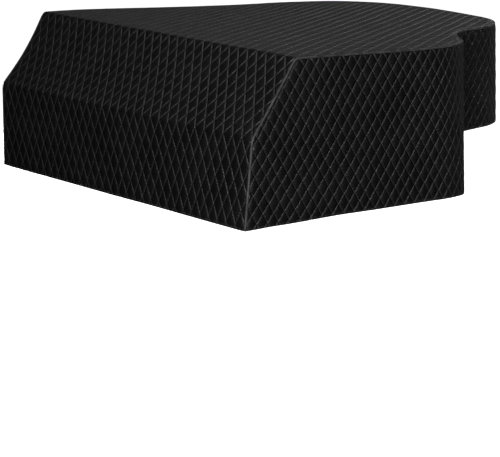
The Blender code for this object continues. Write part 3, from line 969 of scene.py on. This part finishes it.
def makeCord(material):
    points, at = evenPoints(cordRoute(), seamCord["step"])
    count = seamCord["ringPoints"]
    bm = bmesh.new()
    layer = bm.loops.layers.uv.new("cloth")
    ahead = np.gradient(points, axis=0)
    ahead /= np.linalg.norm(ahead, axis=1)[:, None]
    side = np.array([1.0, 0.0, 0.0])
    rings = []
    random = np.random.default_rng(seamCord["seed"])
    run = seamCord["wobbleRun"]
    swell = np.convolve(random.uniform(-1, 1, len(points) + run - 1), np.ones(run) / run, mode="valid")
    turns = np.arange(count) * 2 * math.pi / count
    for k, (point, way) in enumerate(zip(points, ahead)):
        side = side - way * (side @ way)
        side /= np.linalg.norm(side)
        other = np.cross(way, side)
        radius = cover["cordRadius"] + seamCord["wobble"] * swell[k]
        ring = [point + radius * (side * math.cos(turn) + other * math.sin(turn)) for turn in turns]
        rings.append([bm.verts.new(spot) for spot in ring])
    girth = 2 * math.pi * cover["cordRadius"]
    for k, (first, second) in enumerate(zip(rings, rings[1:])):
        for turn in range(count):
            after = (turn + 1) % count
            face = bm.faces.new((first[turn], first[after], second[after], second[turn]))
            face.smooth = True
            around = (turn / count * girth, (turn + 1) / count * girth)
            spots = ((at[k], around[0]), (at[k], around[1]), (at[k + 1], around[1]), (at[k + 1], around[0]))
            for loop, spot in zip(face.loops, spots):
                loop[layer].uv = spot
    for ring in (rings[0][::-1], rings[-1]):
        bm.faces.new(ring)
    bm.normal_update()
    bmesh.ops.recalc_face_normals(bm, faces=bm.faces)
    mesh = asMesh(bm, "seam_piping")
    mesh.materials.append(material)
    return addObject("seam_piping", mesh)


def stitchTree():
    # puts one stitch after another along the hems
    tree = bpy.data.node_groups.new("hem stitches", "GeometryNodeTree")
    kinds = {"Seam": "Geometry", "Pitch": "Float", "Length": "Float", "Thickness": "Float"}
    for name, kind in {**kinds, "Seed": "Int", "Thread": "Material"}.items():
        tree.interface.new_socket(name, in_out="INPUT", socket_type="NodeSocket" + kind)
    tree.interface.new_socket("Stitches", in_out="OUTPUT", socket_type="NodeSocketGeometry")

    def node(kind, sockets, **settings):
        made = tree.nodes.new(kind)
        for name, value in settings.items():
            setattr(made, name, value)
        for key, value in sockets.items():
            if isinstance(value, bpy.types.NodeSocket):
                tree.links.new(value, made.inputs[key])
            else:
                made.inputs[key].default_value = value
        return made.outputs

    given = tree.nodes.new("NodeGroupInput").outputs
    seam = node("GeometryNodeMeshToCurve", {"Mesh": given["Seam"]})
    spaced = node("GeometryNodeResampleCurve", {"Curve": seam[0], "Length": given["Pitch"]}, mode="LENGTH")
    size = node("ShaderNodeCombineXYZ", {0: given["Length"], 1: given["Thickness"], 2: given["Thickness"]})
    ball = node("GeometryNodeMeshUVSphere", {"Segments": 6, "Rings": 5, "Radius": 0.5})
    turned = node("GeometryNodeTransform", {"Geometry": ball[0], "Rotation": (0.0, math.pi / 2, 0.0)})
    stitch = node("GeometryNodeTransform", {"Geometry": turned[0], "Scale": size[0]})
    along = node("GeometryNodeInputTangent", {})
    turn = node("FunctionNodeAlignRotationToVector", {"Vector": along[0]}, axis="X")
    spread = {"Min": (0.90, 0.92, 0.92), "Max": (1.06, 1.10, 1.10), "Seed": given["Seed"]}
    scale = node("FunctionNodeRandomValue", spread, data_type="FLOAT_VECTOR")
    row = {"Points": spaced[0], "Instance": stitch[0], "Rotation": turn[0], "Scale": scale[0]}
    placed = node("GeometryNodeInstanceOnPoints", row)
    real = node("GeometryNodeRealizeInstances", {"Geometry": placed[0]})
    sewn = node("GeometryNodeSetMaterial", {"Geometry": real[0], "Material": given["Thread"]})
    node("NodeGroupOutput", {"Stitches": sewn[0]})
    return tree


def makeStitches(material):
    points, edges = [], []
    for line in hemLines:
        edges += [(len(points) + k, len(points) + k + 1) for k in range(len(line) - 1)]
        points += line.tolist()
    mesh = bpy.data.meshes.new("hem seams")
    mesh.from_pydata(points, edges, [])
    seams = addObject("hem seams", mesh)
    modifier = seams.modifiers.new("stitches", "NODES")
    modifier.node_group = stitchTree()
    values = {"Thread": material}
    values.update((key.capitalize(), hemStitch[key]) for key in ("pitch", "length", "thickness", "seed"))
    for item in modifier.node_group.interface.items_tree:
        if item.in_out == "INPUT" and item.name in values:
            modifier[item.identifier] = values[item.name]
    ready = seams.evaluated_get(bpy.context.evaluated_depsgraph_get())
    sewn = bpy.data.meshes.new_from_object(ready)
    sewn.name = "hem_stitches"
    sewn.shade_smooth()
    printTriangles(sewn)
    piece = addObject("hem_stitches", sewn)
    bpy.data.objects.remove(seams)
    return piece


print("laying out the quilted cloths")
clothMaterials = [quiltedClothMaterial(), liningMaterial()]
topPiece = makeTopCloth(clothMaterials)
corners = (0.0, hollowWalk, spineWalk, sides.total)
skirts = {
    which: makeSkirt(which, start, end, clothMaterials)
    for which, start, end in zip(skirtCloths, corners, corners[1:])
}
print("sewing in the cord")
cordPiece = makeCord(pipingMaterial())
print("stitching the hems")
stitchPiece = makeStitches(threadMaterial())

# what each piece stands for
for piece, node, slot in (
    (topPiece, "top_panel", "quilted_cloth"),
    (skirts["treble"], "treble_skirt", "quilted_cloth"),
    (skirts["tail"], "tail_skirt", "quilted_cloth"),
    (skirts["spine"], "spine_skirt", "quilted_cloth"),
    (cordPiece, "seam_cord", "piping_cloth"),
):
    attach(piece, "root")
    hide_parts(node)
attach(stitchPiece, "root")
for piece, held in ((topPiece, "draped"), *((skirt, "hung") for skirt in skirts.values())):
    flat, area = cutSizes[piece.name]
    print(piece.name, "was cut from", [round(side, 3) for side in flat], "m,", round(area, 3), "m2")

# floor, light and camera
studio = {
    "floorDepth": -1.0374,
    "floorSize": 30.0,
    "floorColours": ((0.93, 0.93, 0.93, 1.0), (0.95, 0.95, 0.95, 1.0)),
    "floorGrain": 3.0,
    "floorGlow": 1.0,
    "background": 1.0,
    "sky": (0.010, 0.24),  # light from the darkest and the brightest of the sky
    "skyMiddle": (125, 25),
    "skyReach": (20, 60),
    "middle": (0.1, -0.2, -0.2),  # of the cover, where the lights are aimed
}

# turn and rise in degrees, distance, width and height, power, then any other aim and spread
lights = {
    "key": ((-42, 8), 6.5, (0.8, 1.0), 780),
    "low": ((-42, -10.5), 4.0, (0.5, 0.5), 185),
    "over": ((-37, 72), 5.0, (1.2, 1.2), 235),
    "rim": ((118, 16), 6.0, (1.2, 0.6), 18, (0.0, 0.0, 0.0)),
    "tail": ((-14, 18), 2.77, (0.5, 0.5), 2.0, (0.42, 0.65, -0.2), 32),
    "tailLow": ((-20, -8), 2.77, (0.5, 0.5), 3.5, (0.42, 0.65, -0.2), 32),
    "back": ((175, -8), 5.0, (0.8, 0.6), 260),
}


def towards(turn, rise):
    turn, rise = math.radians(turn), math.radians(rise)
    return Vector((math.cos(rise) * math.cos(turn), math.cos(rise) * math.sin(turn), math.sin(rise)))


def makeFloor():
    bm = bmesh.new()
    bmesh.ops.create_grid(bm, x_segments=4, y_segments=4, size=studio["floorSize"])
    bmesh.ops.translate(bm, verts=bm.verts, vec=(0, 0, studio["floorDepth"]))
    mesh = asMesh(bm, "floor")
    floor = addObject("floor", mesh)
    material, new, shader = newMaterial("studio floor")
    grain = new.noise(new.node("TexCoord", output=3), studio["floorGrain"], 2.0)
    mixColours(grain, *studio["floorColours"]).into(shader, "Base Color")
    shader.inputs["Roughness"].default_value = 0.9
    shader.inputs["Specular IOR Level"].default_value = 0.1
    shader.inputs["Emission Color"].default_value = (1.0, 1.0, 1.0, 1.0)
    shader.inputs["Emission Strength"].default_value = studio["floorGlow"]
    mesh.materials.append(material)
    floor.visible_diffuse = False
    floor.visible_glossy = False


def makeWorld():
    # white behind the cover, and a dim sky, brightest beyond the tail, to light it
    world = bpy.data.worlds.new("studio")
    bpy.context.scene.world = world
    world.use_nodes = True
    new = Signal(world.node_tree)
    middle = towards(*studio["skyMiddle"])
    sockets = {0: new.node("TexCoord"), 1: middle}
    closeness = new.node("VectorMath", {"operation": "DOT_PRODUCT"}, sockets, output=1)
    near, far = (math.cos(math.radians(angle)) for angle in studio["skyReach"])
    sockets = {"Value": closeness, "From Min": far, "From Max": near}
    sockets.update(zip(("To Min", "To Max"), studio["sky"]))
    glow = new.node("MapRange", {"interpolation_type": "SMOOTHSTEP"}, sockets)
    white = (1.0, 1.0, 1.0, 1.0)
    sky = new.node("Background", sockets={"Color": white, "Strength": glow})
    behind = new.node("Background", sockets={"Color": white, "Strength": studio["background"]})
    seen = new.node("LightPath")
    shown = new.node("MixShader", sockets={0: seen, 1: sky, 2: behind})
    shown.into(world.node_tree.nodes["World Output"], "Surface")


def makeLight(name, direction, distance, size, power, aim=studio["middle"], spread=180):
    light = bpy.data.lights.new(name, "AREA")
    light.shape = "RECTANGLE"
    light.size, light.size_y = size
    light.energy = power
    light.spread = math.radians(spread)
    way = towards(*direction)
    thing = addObject(name, light)
    thing.location = Vector(aim) + way * distance
    thing.rotation_euler = (-way).to_track_quat("-Z", "Y").to_euler()
    thing.visible_camera = False


view = {
    "at": (5.42098, -4.15863, 0.70924),
    "angles": (2.51520375, -0.20655245, 0.00463887),  # turn, rise and roll, in radians
    "sensor": 36.0,
    "lens": 141.839,
    "farthest": 100.0,
}


def makeCamera():
    yaw, pitch, roll = view["angles"]
    forward = Vector((math.cos(pitch) * math.cos(yaw), math.cos(pitch) * math.sin(yaw), math.sin(pitch)))
    right = forward.cross(Vector((0, 0, 1))).normalized()
    up = right.cross(forward)
    across = right * math.cos(roll) + up * math.sin(roll)
    above = up * math.cos(roll) - right * math.sin(roll)
    camera = bpy.data.cameras.new("camera")
    camera.sensor_width = view["sensor"]
    camera.lens = view["lens"]
    camera.clip_end = view["farthest"]
    thing = addObject("camera", camera)
    turn = Matrix((across, above, -forward)).transposed().to_4x4()
    thing.matrix_world = Matrix.Translation(view["at"]) @ turn
    bpy.context.scene.camera = thing


print("floor, lights and camera")
makeFloor()
makeWorld()
makeCamera()
for name, values in lights.items():
    makeLight(name, *values)
bpy.context.scene.view_settings.view_transform = "Standard"
